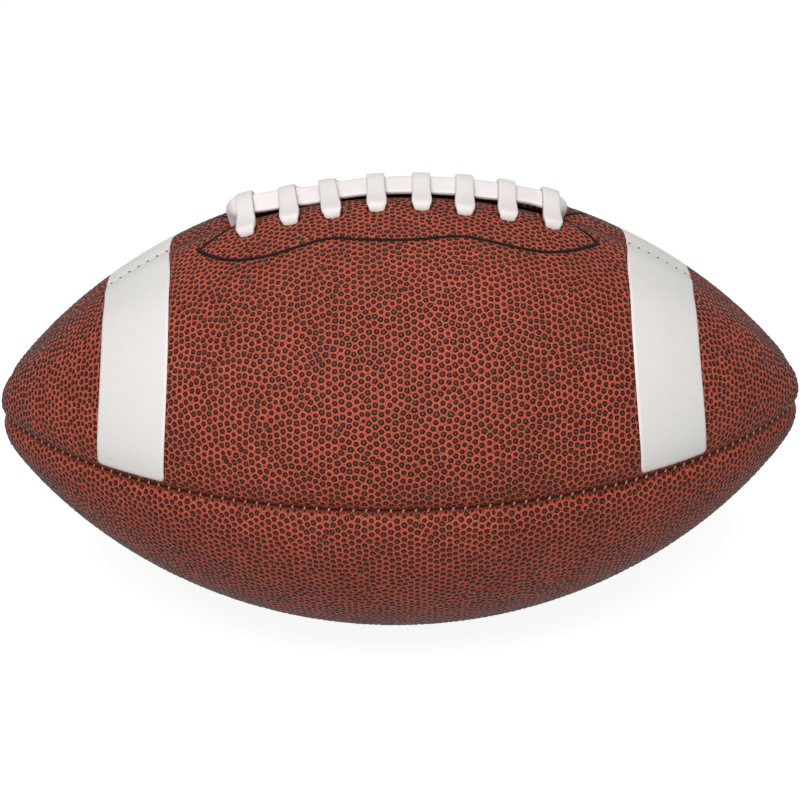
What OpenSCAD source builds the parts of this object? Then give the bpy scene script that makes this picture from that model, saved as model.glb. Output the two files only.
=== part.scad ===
// American football: four sewn panels with a laced slit, cloth lining, bladder and valve.
// X runs along the ball, the laces face +Z, and z = 0 is the surface that the ball lies on.

/* [Ball] */
// Length over the tips
ball_len = 288; // [270:1:300]
// Diameter over the panels at the middle
ball_d = 164.2; // [150:0.2:175]
// Radius that rounds each tip
tip_r = 28; // [24:0.5:32]
// Drop of the crown under the laces, which the lace pulls in
crown_drop = 2.5; // [0:0.1:3]
// Extra drop beside the laces, where the stiff facings keep the cover from arching
side_drop = 1; // [0:0.1:1.2]

/* [Seams] */
// Depth of the narrow groove along a seam
groove_h = 1.8; // [1:0.1:2.4]
// Half width of the narrow groove
groove_w = 2.2; // [2:0.1:3]
// Extra depth by which a panel rolls down towards a seam
lobe_h = 1.3; // [0.6:0.1:1.8]
// Width over which a panel rolls down
lobe_w = 7; // [5:0.5:10]
// Length of seam from stitch to stitch
stitch_pitch = 4; // [3.5:0.1:7]
// Diameter of the seam thread
thread_d = 0.7; // [0.5:0.05:0.9]
// Length of one stitch across the groove
stitch_len = 2.2; // [1.8:0.1:2.4]

/* [Layers] */
// Thickness of the cover
cover_t = 2.2; // [1.8:0.1:2.8]
// Thickness of the cloth lining
lining_t = 0.8; // [0.5:0.1:1.2]
// Thickness of the seam allowance beside the seam
allowance_t = 2.2; // [1.8:0.1:2.4]
// Height of the seam allowance inside the cover
allowance_h = 1.5; // [1:0.1:2]
// Wall of the bladder
bladder_t = 0.9; // [0.7:0.1:1.2]
// Room between one layer and the next
layer_gap = 0.2; // [0.1:0.05:0.3]

/* [Stripes] */
// Distance from a tip to the far edge of a stripe
stripe_from_tip = 42.6; // [36:0.2:46]
// Width of a stripe along the ball
stripe_w = 24.4; // [18:0.1:28]
// Thickness of the stripe material
stripe_t = 0.4; // [0.3:0.05:0.6]
// Distance from a stripe end to its seam
stripe_inset = 2.6; // [2:0.1:5]

/* [Laces] */
// Number of cross laces
lace_count = 8; // [6:1:8]
// Distance from cross lace to cross lace
lace_pitch = 14.7; // [13:0.1:16]
// Width of the lace
lace_w = 6.4; // [5:0.1:6.8]
// Thickness of the lace
lace_t = 2.0; // [1.6:0.1:2.2]
// Distance from the slit to a row of lace holes
hole_from_slit = 18.5; // [14:0.5:19]
// Diameter of a lace hole
hole_d = 7.2; // [7.1:0.1:8]
// Distance from an outer cross lace to the hole at the slit end
end_reach = 7.6; // [7.4:0.1:10]
// Width of the slit
slit_w = 5; // [4:0.1:5.6]
// Thickness of the strip that backs a row of holes
facing_t = 1.2; // [0.8:0.1:1.4]
// Thickness of the tongue under the laces
tongue_t = 1.5; // [1:0.1:2]

/* [Valve] */
// Bore for the pump needle
needle_bore_d = 2.5; // [2:0.1:3]
// Diameter of the valve neck in the cover
valve_neck_d = 6; // [5:0.1:7]
// Diameter of the valve stem inside the bladder
valve_stem_d = 9; // [8:0.1:10]
// Depth of the valve stem below the bladder wall
valve_stem_h = 12; // [9:0.5:16]
// Diameter of the flange bonded to the bladder
valve_flange_d = 16; // [13:0.5:18]
// Thickness of that flange
valve_flange_t = 1.6; // [1.2:0.1:2]
// Length of the slug that seals the bore
slug_h = 6; // [4:0.5:7]
// Diameter of the slug
slug_d = 5; // [4:0.1:6]

/* [Hidden] */

// Angles round the ball, seen from +X: 0 at the back, 90 at the laces, 180 at the front
back = 0;
top = 90;
front = 180;
bottom = 270;
quarter = 90;

// The outline of the ball is one wide arc on each side and a small arc round each tip
function groove(s) = groove_h * exp(-pow(s / groove_w, 2)) + lobe_h * exp(-pow(s / lobe_w, 2));
seam_depth = groove(0);
tip_loss = min([for (b = [0:0.5:40]) tip_r - (tip_r - groove(tip_r * sin(b) / 2)) * cos(b)]);
girth_r = ball_d / 2;
tip_x = ball_len / 2 + tip_loss - tip_r;
side_r = (pow(tip_x, 2) + pow(girth_r, 2) - pow(tip_r, 2)) / (2 * (girth_r - tip_r));
tip_phi = asin(tip_x / (side_r - tip_r));

// phi is the slope of the outline: 0 at the middle and 90 at the tip; d is the depth below it
function axial(phi, d) = sign(phi) * (abs(phi) < tip_phi
    ? (side_r - d) * sin(abs(phi))
    : tip_x + (tip_r - d) * sin(abs(phi)));
function radial(phi, d) = abs(phi) < tip_phi
    ? (side_r - d) * cos(phi) - (side_r - girth_r)
    : (tip_r - d) * cos(phi);
function phi_at_x(x) = abs(x) < side_r * sin(tip_phi)
    ? asin(x / side_r)
    : sign(x) * asin((abs(x) - tip_x) / tip_r);
side_arc = side_r * tip_phi * PI / 180;
half_arc = side_arc + tip_r * (quarter - tip_phi) * PI / 180;
function phi_at_arc(a) = abs(a) < side_arc
    ? a / side_r * 180 / PI
    : sign(a) * (tip_phi + (abs(a) - side_arc) / tip_r * 180 / PI);
function arc_at_phi(phi) = abs(phi) < tip_phi
    ? phi * side_r * PI / 180
    : sign(phi) * (side_arc + tip_r * (abs(phi) - tip_phi) * PI / 180);
function seam_dist(r, ang) = r * abs(sin(2 * ang)) / 2;

// Stations along the ball, with a flat facet and no station at the middle
side_steps = 8;
tip_steps = 4;
half_phis = concat(
    [for (k = [0:side_steps - 1]) tip_phi * (2 * k + 1) / (2 * side_steps)],
    [for (k = [0:tip_steps - 1]) tip_phi + (quarter - tip_phi) * k / tip_steps]
);
half_count = len(half_phis);
phis = concat([for (k = [half_count - 1:-1:0]) -half_phis[k]], half_phis);

// Rows across a panel: close together in the groove and even over the crown
groove_rows_share = [0, 0.5, 1.1, 2.05, 3.6];
crown_steps = 4;
fade_r = girth_r / 3;
function row_scale(r) = groove_w * min(1, r / fade_r);
function half_rows(r, from) =
    let (near = [for (k = [from:len(groove_rows_share) - 1])
             groove_rows_share[k] * row_scale(r) / r * 180 / PI],
         last = near[len(near) - 1])
    concat(near, [for (k = [1:crown_steps]) last + (quarter / 2 - last) * k / crown_steps]);
function rows(r, from) =
    let (h = half_rows(r, from), n = len(h))
    concat(h, [for (k = [n - 2:-1:0]) quarter - h[k]]);

// The same rows, drawn in so that they start at the angle first
function drawn_in(a, first) = [
    for (t = a) first + (t - a[0]) / (quarter - 2 * a[0]) * (quarter - 2 * first)
];

// The ball is lifted so that the two lower panels rest on z = 0
mid_r = radial(half_phis[0], 0);
rest_z = max([
    for (a = rows(mid_r, 0)) radial(half_phis[0], groove(seam_dist(mid_r, a))) * cos(a)
]);
// The crown under the laces is lower than round, most at the middle of the slit
crown_power = 2;
side_span = 34;
function from_top(ang) = min(abs(ang - top), side_span);
function crown(phi, ang) =
    sin(quarter * radial(phi, 0) / girth_r) * (crown_drop * pow((1 + sin(ang)) / 2, crown_power)
        + side_drop * pow(sin(2 * quarter * from_top(ang) / side_span), 2));
function at(phi, ang, d) =
    let (low = d + crown(phi, ang))
    [axial(phi, low), radial(phi, low) * cos(ang), radial(phi, low) * sin(ang) + rest_z];
function skin_at(phi, ang, d) = at(phi, ang, d + groove(seam_dist(radial(phi, 0), ang)));
// A place near the laces: s is the distance from the slit, towards the front
function lace_at(phi, s, d) = at(phi, top + s / radial(phi, 0) * 180 / PI, d);

// Faces between rings of k points each, and the closures of a loft's two ends
function ring_faces(n, k) = [
    for (i = [0:n - 2]) for (j = [0:k - 1])
        let (a = i * k + j, b = i * k + (j + 1) % k)
        each [[a, b, b + k], [a, b + k, a + k]]
];
function strip_end(base, k, m) = [
    for (j = [0:m - 1])
        let (a = base + j, b = base + j + 1, c = base + k - 2 - j, e = base + k - 1 - j)
        each [[a, b, c], [a, c, e]]
];
function pole_end(base, k, m, outer, inner) = [
    for (j = [0:k - 1])
        let (a = base + j, b = base + (j + 1) % k)
        each (j == m ? [[a, b, inner], [a, inner, outer]]
            : j == k - 1 ? [[a, b, outer], [a, outer, inner]]
            : [[a, b, j < m ? outer : inner]])
];
function turned(faces) = [for (f = faces) [f[2], f[1], f[0]]];

// A thin curved sheet: every ring holds an upper row and then the lower row backwards
module sheet(rings) {
    n = len(rings);
    k = len(rings[0]);
    faces = concat(
        ring_faces(n, k),
        turned(strip_end(0, k, k / 2 - 1)),
        strip_end((n - 1) * k, k, k / 2 - 1)
    );
    polyhedron([for (r = rings) each r], turned(faces));
}

// Panels
inner_depth = cover_t + seam_depth;
// Room for the flat facets of one curved sheet over another
facet_room = 0.6;
allowance_share = 0.35;
function allowance_d(phi) = inner_depth + allowance_h * min(1, radial(phi, 0) / fade_r);
function allowance_w(phi) = min(allowance_t, allowance_share * radial(phi, allowance_d(phi)));
function allowance_corner(phi, seam, into) =
    at(phi, seam, allowance_d(phi)) + allowance_w(phi) * into;
function inner_rows(phi) =
    drawn_in(rows(radial(phi, 0), 2), asin(allowance_w(phi) / radial(phi, cover_t)));
function panel_ring(phi, start) =
    let (outer = rows(radial(phi, 0), 0),
         inner = inner_rows(phi),
         n = len(inner),
         into_start = [0, -sin(start), cos(start)],
         into_end = [0, cos(start), sin(start)])
    concat(
        [for (a = outer) skin_at(phi, start + a, 0)],
        [at(phi, start + quarter, allowance_d(phi))],
        [allowance_corner(phi, start + quarter, into_end)],
        [for (j = [n - 1:-1:0]) skin_at(phi, start + inner[j], cover_t)],
        [allowance_corner(phi, start, into_start)],
        [at(phi, start, allowance_d(phi))]
    );
module panel_shell(start) {
    rings = [for (p = phis) panel_ring(p, start)];
    n = len(rings);
    k = len(rings[0]);
    m = len(rows(girth_r, 0)) - 1;
    pole = n * k;
    points = concat(
        [for (r = rings) each r],
        [at(-quarter, start, seam_depth), at(-quarter, start, inner_depth)],
        [at(quarter, start, seam_depth), at(quarter, start, inner_depth)]
    );
    faces = concat(
        ring_faces(n, k),
        turned(pole_end(0, k, m, pole, pole + 1)),
        pole_end((n - 1) * k, k, m, pole + 2, pole + 3)
    );
    polyhedron(points, turned(faces));
}

// Laces: their places, and the cuts that they need
overrun = 4;
lace_phis = [for (k = [0:lace_count - 1]) phi_at_x((k - (lace_count - 1) / 2) * lace_pitch)];
end_phi = phi_at_x((lace_count - 1) / 2 * lace_pitch + end_reach);
end_x = axial(end_phi, 0);
module along_normal(phi, s, d) {
    ang = top + s / radial(phi, 0) * 180 / PI;
    normal = [sin(phi), cos(phi) * cos(ang), cos(phi) * sin(ang)];
    translate(lace_at(phi, s, d))
        rotate([0, acos(normal[2]), atan2(normal[1], normal[0])])
            children();
}
stack_d = cover_t + seam_depth + lining_t + facing_t + overrun;
module lace_hole(phi, s) {
    along_normal(phi, s, stack_d) cylinder(h = stack_d + overrun, d = hole_d, $fn = 32);
}
module lace_cuts(side) {
    for (p = lace_phis) lace_hole(p, side * hole_from_slit);
    for (p = [-end_phi, end_phi]) lace_hole(p, 0);
    translate([-end_x, -slit_w / 2, rest_z + girth_r / 2]) cube([2 * end_x, slit_w, girth_r]);
}

// Valve: its place is the middle of the back laced panel
valve_ang = 45;
module on_valve(r) {
    translate([0, 0, rest_z]) rotate([valve_ang - quarter, 0, 0])
        translate([0, 0, r - crown(0, valve_ang)])
            children();
}
neck_room = 1.5 * layer_gap;
module valve_hole() {
    on_valve(girth_r - stack_d)
        cylinder(h = stack_d + overrun, d = valve_neck_d + 2 * neck_room, $fn = 32);
}

leather = "#8c3b2a";
module front_top_panel() {
    color(leather) difference() {
        panel_shell(top);
        lace_cuts(1);
    }
}
module back_top_panel() {
    color(leather) difference() {
        panel_shell(back);
        lace_cuts(-1);
        valve_hole();
    }
}
module front_bottom_panel() {
    color(leather) panel_shell(front);
}
module back_bottom_panel() {
    color(leather) panel_shell(bottom);
}

// Lining: one cloth piece glued to the inside of each panel, between the seam allowances
lining_d = cover_t + layer_gap;
lining_end_phi = 72;
lining_phis = [for (p = phis) if (abs(p) < lining_end_phi) p];
function lining_rows(phi) =
    drawn_in(inner_rows(phi), asin((allowance_w(phi) + layer_gap) / radial(phi, inner_depth + lining_t)));
module lining_shell(start) {
    sheet([
        for (p = lining_phis)
            let (a = lining_rows(p), n = len(a))
            concat(
                [for (j = [0:n - 1]) skin_at(p, start + a[j], lining_d)],
                [for (j = [n - 1:-1:0]) skin_at(p, start + a[j], lining_d + lining_t)]
            )
    ]);
}
cloth = "#d8cfb8";
module front_top_lining() {
    color(cloth) difference() {
        lining_shell(top);
        lace_cuts(1);
    }
}
module back_top_lining() {
    color(cloth) difference() {
        lining_shell(back);
        lace_cuts(-1);
        valve_hole();
    }
}
module front_bottom_lining() {
    color(cloth) lining_shell(front);
}
module back_bottom_lining() {
    color(cloth) lining_shell(bottom);
}

// Stripes: each lies on its laced panel from near the slit seam to near the side seam
stripe_gap = layer_gap;
stripe_steps = 3;
function stripe_rows(phi) =
    let (r = radial(phi, 0))
    drawn_in(rows(r, 2), stripe_inset / r * 180 / PI);
module stripe(side, start) {
    near = phi_at_x(ball_len / 2 - stripe_from_tip - stripe_w);
    far = phi_at_x(ball_len / 2 - stripe_from_tip);
    from = side < 0 ? -far : near;
    color("white") sheet([
        for (k = [0:stripe_steps])
            let (p = from + (far - near) * k / stripe_steps, a = stripe_rows(p), n = len(a))
            concat(
                [for (j = [0:n - 1]) skin_at(p, start + a[j], -stripe_gap - stripe_t)],
                [for (j = [n - 1:-1:0]) skin_at(p, start + a[j], -stripe_gap)]
            )
    ]);
}
module front_left_stripe() {
    stripe(-1, top);
}
module front_right_stripe() {
    stripe(1, top);
}
module back_left_stripe() {
    stripe(-1, back);
}
module back_right_stripe() {
    stripe(1, back);
}

// Lace: one flat strip. It starts inside at the right, comes up through the end hole, runs along
// the slit, goes down at the left, and then winds through the two rows of holes.
strip_rise = 1;
strip_d = -strip_rise;
bend_r = lace_t * 0.75;
strip_mid_d = strip_d - lace_t / 2;
cross_low_d = -layer_gap - lace_t / 2;
cross_top_d = strip_d - lace_t - layer_gap - lace_t / 2;
under_top_d = inner_depth + max(lining_t + facing_t - layer_gap, allowance_h + 1.5 * layer_gap);
under_d = under_top_d + lace_t / 2;
tail_len = 9;
bend_steps = 3;
// Each entry is a place and the direction of the strip's width there
function backwards(phi, s) =
    let (ang = top + s / radial(phi, 0) * 180 / PI)
    [-cos(phi), sin(phi) * cos(ang), sin(phi) * sin(ang)];
function cross_point(phi, s, d) = [lace_at(phi, s, d), backwards(phi, s)];
function bend(phi, s_mid, d_mid, a0, a1) = [
    for (k = [0:bend_steps])
        let (a = a0 + (a1 - a0) * k / bend_steps)
        cross_point(phi, s_mid + bend_r * cos(a), d_mid - bend_r * sin(a))
];
function end_bend(side, x_mid_arc, d_mid, a0, a1) = [
    for (k = [0:bend_steps])
        let (a = a0 + (a1 - a0) * k / bend_steps)
        let (p = phi_at_arc(side * (x_mid_arc + bend_r * cos(a))))
        [lace_at(p, 0, d_mid - bend_r * sin(a)), [0, 1, 0]]
];
end_arc = arc_at_phi(end_phi);
strip_steps = 16;
function strip_run() = concat(
    [[lace_at(phi_at_arc(end_arc + tail_len), 0, under_d), [0, 1, 0]]],
    end_bend(1, end_arc + bend_r, under_d - bend_r, 270, 180),
    end_bend(1, end_arc - bend_r, strip_mid_d + bend_r, 0, 90),
    [for (k = [1:strip_steps - 1])
        [lace_at(phi_at_arc((end_arc - bend_r) * (1 - 2 * k / strip_steps)), 0, strip_mid_d), [0, 1, 0]]],
    end_bend(-1, end_arc - bend_r, strip_mid_d + bend_r, 90, 0)
);
// Inside the left end hole the strip turns a quarter, so that it can leave towards the back
turn_steps = 3;
function turn_run() =
    let (high = strip_mid_d + bend_r, low = under_d - bend_r)
    concat(
        [for (k = [1:turn_steps])
            let (a = quarter * k / turn_steps)
            [lace_at(-end_phi, 0, high + (low - high) * k / turn_steps),
             sin(a) * backwards(-end_phi, 0) + cos(a) * [0, 1, 0]]],
        [for (k = [1:bend_steps])
            let (a = quarter * k / bend_steps)
            cross_point(-end_phi, bend_r * (cos(a) - 1), low + bend_r * sin(a))]
    );
function cross_run(phi) =
    let (m = run_edge, mid = lace_w / 2 + lace_t / 2, slope_d = (cross_low_d + cross_top_d) / 2)
    concat(
        bend(phi, -m, under_d - bend_r, 270, 180),
        bend(phi, -m, cross_low_d + bend_r, 180, 90),
        [cross_point(phi, -(m + mid) / 2, slope_d)],
        [for (s = [-mid, 0, mid]) cross_point(phi, s, cross_top_d)],
        [cross_point(phi, (m + mid) / 2, slope_d)],
        bend(phi, m, cross_low_d + bend_r, 90, 0),
        bend(phi, m, under_d - bend_r, 0, -90)
    );
under_steps = 4;
function under_run(phi_a, s_a, phi_b, s_b) = [
    for (k = [1:under_steps - 1])
        let (t = k / under_steps)
        cross_point(phi_a + (phi_b - phi_a) * t, s_a + (s_b - s_a) * t, under_d)
];
function unit(v) = v / norm(v);
run_edge = hole_from_slit - bend_r;
function lace_path() = concat(
    strip_run(),
    turn_run(),
    under_run(-end_phi, -bend_r, lace_phis[0], -run_edge),
    [for (i = [0:lace_count - 1]) each concat(
        cross_run(lace_phis[i]),
        i < lace_count - 1 ? under_run(lace_phis[i], run_edge, lace_phis[i + 1], -run_edge) : []
    )],
    [cross_point(lace_phis[lace_count - 1], run_edge - tail_len, under_d)]
);
corner_share = 0.3;
lace_c = lace_t * corner_share;
lace_section = [
    [-lace_w / 2, -lace_t / 2 + lace_c], [-lace_w / 2 + lace_c, -lace_t / 2],
    [lace_w / 2 - lace_c, -lace_t / 2], [lace_w / 2, -lace_t / 2 + lace_c],
    [lace_w / 2, lace_t / 2 - lace_c], [lace_w / 2 - lace_c, lace_t / 2],
    [-lace_w / 2 + lace_c, lace_t / 2], [-lace_w / 2, lace_t / 2 - lace_c]
];
module lace() {
    path = lace_path();
    n = len(path);
    k = len(lace_section);
    rings = [
        for (i = [0:n - 1])
            let (run = unit(path[min(i + 1, n - 1)][0] - path[max(i - 1, 0)][0]),
                 lift = unit(cross(run, path[i][1])),
                 width = cross(lift, run))
            [for (c = lace_section) path[i][0] + c[0] * width + c[1] * lift]
    ];
    faces = concat(
        ring_faces(n, k),
        [[for (j = [k - 1:-1:0]) j]],
        [[for (j = [0:k - 1]) (n - 1) * k + j]]
    );
    color("#efebe4") polyhedron(
        [for (r = rings) each r],
        [for (f = faces) [for (j = [len(f) - 1:-1:0]) f[j]]]
    );
}

// Facings: a punched strip glued to the lining under each row of holes
facing_d = lining_d + lining_t + layer_gap;
facing_rows = 3;
side_step_arc = side_arc / side_steps;
facing_count = ceil((end_arc + hole_d / 2) / side_step_arc + 0.5);
facing_phis = [for (k = [-facing_count:facing_count - 1]) phi_at_arc((k + 0.5) * side_step_arc)];
module facing(side) {
    difference() {
        sheet([
            for (p = facing_phis)
                let (rows_here = lining_rows(p),
                     a = side > 0
                         ? [for (j = [0:facing_rows]) top + rows_here[j]]
                         : [for (j = [facing_rows:-1:0]) top - rows_here[j]],
                     n = len(a))
                concat(
                    [for (j = [0:n - 1]) skin_at(p, a[j], facing_d)],
                    [for (j = [n - 1:-1:0]) skin_at(p, a[j], facing_d + facing_t)]
                )
        ]);
        lace_cuts(side);
    }
}
module front_lace_facing() {
    color("#b9a88c") facing(1);
}
module back_lace_facing() {
    color("#b9a88c") facing(-1);
}

// Tongue: a strip between the lace and the bladder
tongue_d = under_d + lace_t / 2 + facet_room;
tongue_w = 2 * (hole_from_slit + lace_t);
tongue_rows = 6;
tongue_steps = 14;
tongue_over = hole_d;
module slit_tongue() {
    reach = end_arc + tongue_over;
    color("#7a6652") sheet([
        for (i = [0:tongue_steps])
            let (p = phi_at_arc(reach * (2 * i / tongue_steps - 1)),
                 r = radial(p, 0),
                 a = [for (j = [0:tongue_rows]) top + tongue_w * (j / tongue_rows - 0.5) / r * 180 / PI])
            concat(
                [for (j = [0:tongue_rows]) at(p, a[j], tongue_d)],
                [for (j = [tongue_rows:-1:0]) at(p, a[j], tongue_d + tongue_t)]
            )
    ]);
}

// Bladder: it fills the lined cover, dips at the seam allowances and under the laces
bladder_d = lining_d + lining_t + layer_gap;
seam_dip = allowance_h + inner_depth + layer_gap - bladder_d;
seam_dip_w = 4 * allowance_t;
lace_dip = tongue_d + tongue_t + facet_room - bladder_d;
lace_dip_w = tongue_w / 2 + 2 * tongue_over;
lace_dip_len = end_arc + 6 * tongue_over;
function dip(phi, ang) =
    let (r = radial(phi, 0),
         seam = seam_dip * exp(-pow(seam_dist(r, ang) / seam_dip_w, 4)),
         off = abs(ang - top) < quarter ? r * (ang - top) * PI / 180 : girth_r * PI,
         lace = lace_dip * exp(-pow(off / lace_dip_w, 8)) * exp(-pow(arc_at_phi(phi) / lace_dip_len, 8)))
    max(groove(seam_dist(r, ang)), seam, lace);
function bladder_ring(phi, d) = [
    for (q = [0:3])
        let (a = inner_rows(phi), n = len(a))
        for (j = [0:n - 1])
            at(phi, quarter * q + a[j], bladder_d + d + dip(phi, quarter * q + a[j]))
];
module bladder_skin(d) {
    rings = [for (p = phis) bladder_ring(p, d)];
    n = len(rings);
    k = len(rings[0]);
    pole = n * k;
    points = concat(
        [for (r = rings) each r],
        [at(-quarter, 0, bladder_d + d + seam_dip), at(quarter, 0, bladder_d + d + seam_dip)]
    );
    faces = concat(
        ring_faces(n, k),
        [for (j = [0:k - 1]) [j, pole, (j + 1) % k]],
        [for (j = [0:k - 1]) [(n - 1) * k + j, (n - 1) * k + (j + 1) % k, pole + 1]]
    );
    polyhedron(points, turned(faces));
}
stem_room = layer_gap;
module bladder() {
    color("#2b2b2d") difference() {
        bladder_skin(0);
        bladder_skin(bladder_t);
        on_valve(girth_r / 2) cylinder(h = girth_r, d = valve_stem_d + 2 * stem_room, $fn = 48);
    }
}

// Valve: a rubber body with a flange below the bladder wall, and the slug in its pocket
neck_top_r = girth_r - layer_gap;
stem_top_share = 0.7;
neck_low_r = girth_r - bladder_d - bladder_t * stem_top_share;
flange_dip = dip(0, valve_ang + asin(valve_flange_d / 2 / neck_low_r));
flange_top_r = girth_r - bladder_d - bladder_t - facet_room - flange_dip;
flange_dish = pow(valve_flange_d, 2) / (4 * girth_r);
flange_low_r = flange_top_r - flange_dish - valve_flange_t;
stem_low_r = flange_top_r - valve_stem_h;
slug_top_r = flange_top_r - valve_flange_t;
slug_low_r = slug_top_r - slug_h;
valve_outline = [
    [needle_bore_d / 2, neck_top_r],
    [needle_bore_d / 2, slug_top_r],
    [slug_d / 2, slug_top_r],
    [slug_d / 2, slug_low_r],
    [needle_bore_d / 2, slug_low_r],
    [needle_bore_d / 2, stem_low_r],
    [valve_stem_d / 2, stem_low_r],
    [valve_stem_d / 2, flange_low_r],
    [valve_flange_d / 2, flange_low_r],
    [valve_flange_d / 2, flange_top_r - flange_dish],
    [valve_stem_d / 2, flange_top_r - flange_dish * valve_stem_d / valve_flange_d],
    [valve_stem_d / 2, neck_low_r],
    [valve_neck_d / 2, neck_low_r],
    [valve_neck_d / 2, neck_top_r]
];
module valve_body() {
    color("#1d1d1f") on_valve(0) rotate_extrude($fn = 64) polygon(valve_outline);
}
module valve_slug() {
    color("#3a3a3c") on_valve(slug_low_r + layer_gap / 2)
        cylinder(h = slug_h - layer_gap, d = slug_d - layer_gap, $fn = 32);
}

// Thread: the stitches that show in a seam, each across the groove
thread_lift_share = 0.36;
thread_deep = seam_depth - thread_d / 2 - groove_h * thread_lift_share;
stitch_slant = 25;
seam_end_share = 0.955;
module stitch(phi, seam) {
    translate(at(phi, seam, thread_deep)) rotate([seam - top, 0, 0])
        rotate([0, phi, 0]) rotate([0, 0, stitch_slant]) rotate([quarter, 0, 0])
            cylinder(h = stitch_len, d = thread_d, center = true, $fn = 16);
}
module stitch_row(seam, from, to) {
    count = floor((to - from) / stitch_pitch);
    for (k = [0:count])
        stitch(phi_at_arc((from + to) / 2 + (k - count / 2) * stitch_pitch), seam);
}
seam_end_arc = half_arc * seam_end_share;
slit_end_arc = end_arc + hole_d;
module seam_thread(seam, from, to) {
    color("#d9b36a") stitch_row(seam, from, to);
}
module front_seam_thread() {
    seam_thread(front, -seam_end_arc, seam_end_arc);
}
module back_seam_thread() {
    seam_thread(back, -seam_end_arc, seam_end_arc);
}
module bottom_seam_thread() {
    seam_thread(bottom, -seam_end_arc, seam_end_arc);
}
module left_laced_seam_thread() {
    seam_thread(top, -seam_end_arc, -slit_end_arc);
}
module right_laced_seam_thread() {
    seam_thread(top, slit_end_arc, seam_end_arc);
}

front_top_panel();
back_top_panel();
front_bottom_panel();
back_bottom_panel();
front_top_lining();
back_top_lining();
front_bottom_lining();
back_bottom_lining();
front_left_stripe();
front_right_stripe();
back_left_stripe();
back_right_stripe();
lace();
front_lace_facing();
back_lace_facing();
slit_tongue();
bladder();
valve_body();
valve_slug();
front_seam_thread();
back_seam_thread();
bottom_seam_thread();
left_laced_seam_thread();
right_laced_seam_thread();
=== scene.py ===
# American football in pebbled composite leather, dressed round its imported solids
import bpy
import numpy as np
from mathutils import Matrix, Vector
from mathutils.geometry import delaunay_2d_cdt


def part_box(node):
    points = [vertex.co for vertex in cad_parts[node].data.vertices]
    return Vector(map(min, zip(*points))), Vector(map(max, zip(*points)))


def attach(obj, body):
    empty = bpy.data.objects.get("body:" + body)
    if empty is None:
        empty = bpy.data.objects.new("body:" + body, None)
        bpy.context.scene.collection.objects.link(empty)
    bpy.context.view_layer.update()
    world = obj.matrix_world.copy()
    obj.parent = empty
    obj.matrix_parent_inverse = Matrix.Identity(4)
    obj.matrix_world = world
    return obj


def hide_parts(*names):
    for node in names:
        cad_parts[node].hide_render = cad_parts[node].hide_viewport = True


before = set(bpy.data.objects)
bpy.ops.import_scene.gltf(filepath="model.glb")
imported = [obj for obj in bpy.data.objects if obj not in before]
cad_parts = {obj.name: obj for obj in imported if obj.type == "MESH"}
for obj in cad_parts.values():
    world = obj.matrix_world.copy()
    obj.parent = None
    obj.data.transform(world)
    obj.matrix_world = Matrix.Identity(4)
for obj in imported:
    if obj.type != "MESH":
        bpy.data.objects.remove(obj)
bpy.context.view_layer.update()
mm = 0.001

# Sizes of the ball, as in its solids. Angles round it: 0 back, 90 laces, 180 front, 270 bottom
ball = {
    "length": 288 * mm, "girth": 164.2 * mm, "tipRadius": 28 * mm, "crownDrop": 2.5 * mm,
    "sideDrop": 1 * mm, "sideSpan": np.radians(34),
    # depth and width of a seam's crease, then of its roll
    "seam": (1.8 * mm, 2.2 * mm, 1.3 * mm, 7 * mm), "lacedSeam": (0.8 * mm, 1.6 * mm, 2.3 * mm, 8 * mm),
}
lowFront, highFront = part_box("front_seam_thread")
restHeight = (lowFront[2] + highFront[2]) / 2
print("frame loaded, the ball's middle is", round(restHeight / mm, 2), "mm up")


def groove(s, seam="seam"):
    # a narrow crease and a wide roll, both bell curves of the distance s from the seam
    crease, creaseWidth, roll, rollWidth = ball[seam]
    return crease * np.exp(-(s / creaseWidth) ** 2) + roll * np.exp(-(s / rollWidth) ** 2)


tilts = np.radians(np.arange(0, 40.5, 0.5))
tipRadius = ball["tipRadius"]
tipLoss = np.min(tipRadius - (tipRadius - groove(tipRadius * np.sin(tilts) / 2)) * np.cos(tilts))
girthRadius = ball["girth"] / 2
tipX = ball["length"] / 2 + tipLoss - tipRadius
sideRadius = (tipX ** 2 + girthRadius ** 2 - tipRadius ** 2) / (2 * (girthRadius - tipRadius))
tipPhi = np.arcsin(tipX / (sideRadius - tipRadius))
sideArc = sideRadius * tipPhi
halfArc = sideArc + tipRadius * (np.pi / 2 - tipPhi)


def outline(phi, depth=0):
    # the profile is a wide arc on each side and a small arc round each tip; depth is measured inwards
    a = np.abs(phi)
    x = np.where(a < tipPhi, (sideRadius - depth) * np.sin(a), tipX + (tipRadius - depth) * np.sin(a))
    r = np.where(a < tipPhi, (sideRadius - depth) * np.cos(a) - (sideRadius - girthRadius),
                 (tipRadius - depth) * np.cos(a))
    return np.sign(phi) * x, r


def phiAtArc(arc):
    a = np.abs(arc)
    return np.sign(arc) * np.where(a < sideArc, a / sideRadius, tipPhi + (a - sideArc) / tipRadius)


def phiAtX(x):
    a = np.abs(x)
    side = np.arcsin(np.clip(a / sideRadius, 0, 1))
    return np.sign(x) * np.where(a < sideRadius * np.sin(tipPhi), side,
                                 np.arcsin(np.clip((a - tipX) / tipRadius, -1, 1)))


def surface(phi, angle, depth):
    # a point that lies depth below the plain round, which is lower under and beside the laces
    r0 = outline(phi)[1]
    beside = np.clip(np.abs(angle - np.pi / 2) / ball["sideSpan"], 0, 1)
    drop = ball["crownDrop"] * ((1 + np.sin(angle)) / 2) ** 2 + ball["sideDrop"] * np.sin(np.pi * beside) ** 2
    x, r = outline(phi, depth + drop * np.sin(np.pi / 2 * np.clip(r0 / girthRadius, 0, 1)))
    return np.stack([x, r * np.cos(angle), r * np.sin(angle) + restHeight], -1)


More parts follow.
